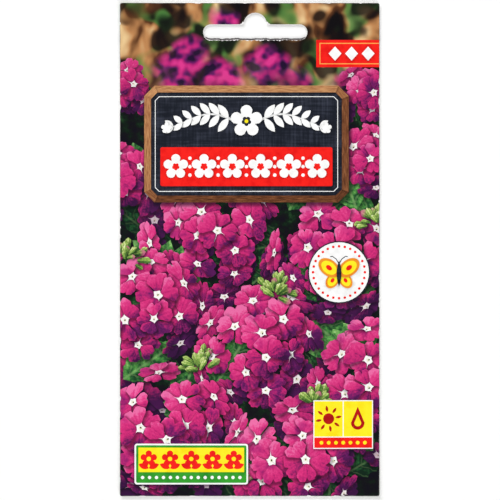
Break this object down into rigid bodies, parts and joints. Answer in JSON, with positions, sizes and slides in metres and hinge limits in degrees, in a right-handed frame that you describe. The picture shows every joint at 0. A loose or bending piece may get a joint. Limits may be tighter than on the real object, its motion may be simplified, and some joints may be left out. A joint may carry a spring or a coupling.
{
  "type": "seed packet",
  "caption": "Flat printed paper seed packet: front and back sheets sealed round all edges, a punched hang slot in the header, and loose flower seeds in the pocket.",
  "frame": {"origin": "middle of the packet's back, on the surface it lies on", "axes": "+X along the width, +Y along the length towards the header with the hang slot, +Z out of the printed front"},
  "size_m": [0.08, 0.152, 0.0028],
  "materials": {
    "front_print": "satin",
    "back_print": "satin",
    "seed_coat": "matte"
  },
  "bodies": {
    "root": {"front_sheet": "front_print", "back_sheet": "back_print", "seed_01": "seed_coat", "seed_02": "seed_coat", "seed_03": "seed_coat", "seed_04": "seed_coat", "seed_05": "seed_coat", "seed_06": "seed_coat", "seed_07": "seed_coat", "seed_08": "seed_coat", "seed_09": "seed_coat", "seed_10": "seed_coat", "seed_11": "seed_coat", "seed_12": "seed_coat", "seed_13": "seed_coat", "seed_14": "seed_coat", "seed_15": "seed_coat", "seed_16": "seed_coat", "seed_17": "seed_coat", "seed_18": "seed_coat", "seed_19": "seed_coat", "seed_20": "seed_coat", "seed_21": "seed_coat", "seed_22": "seed_coat", "seed_23": "seed_coat", "seed_24": "seed_coat", "seed_25": "seed_coat", "seed_26": "seed_coat", "seed_27": "seed_coat", "seed_28": "seed_coat", "seed_29": "seed_coat", "seed_30": "seed_coat", "seed_31": "seed_coat", "seed_32": "seed_coat", "seed_33": "seed_coat", "seed_34": "seed_coat", "seed_35": "seed_coat", "seed_36": "seed_coat", "seed_37": "seed_coat", "seed_38": "seed_coat", "seed_39": "seed_coat", "seed_40": "seed_coat"}
  },
  "joints": []
}
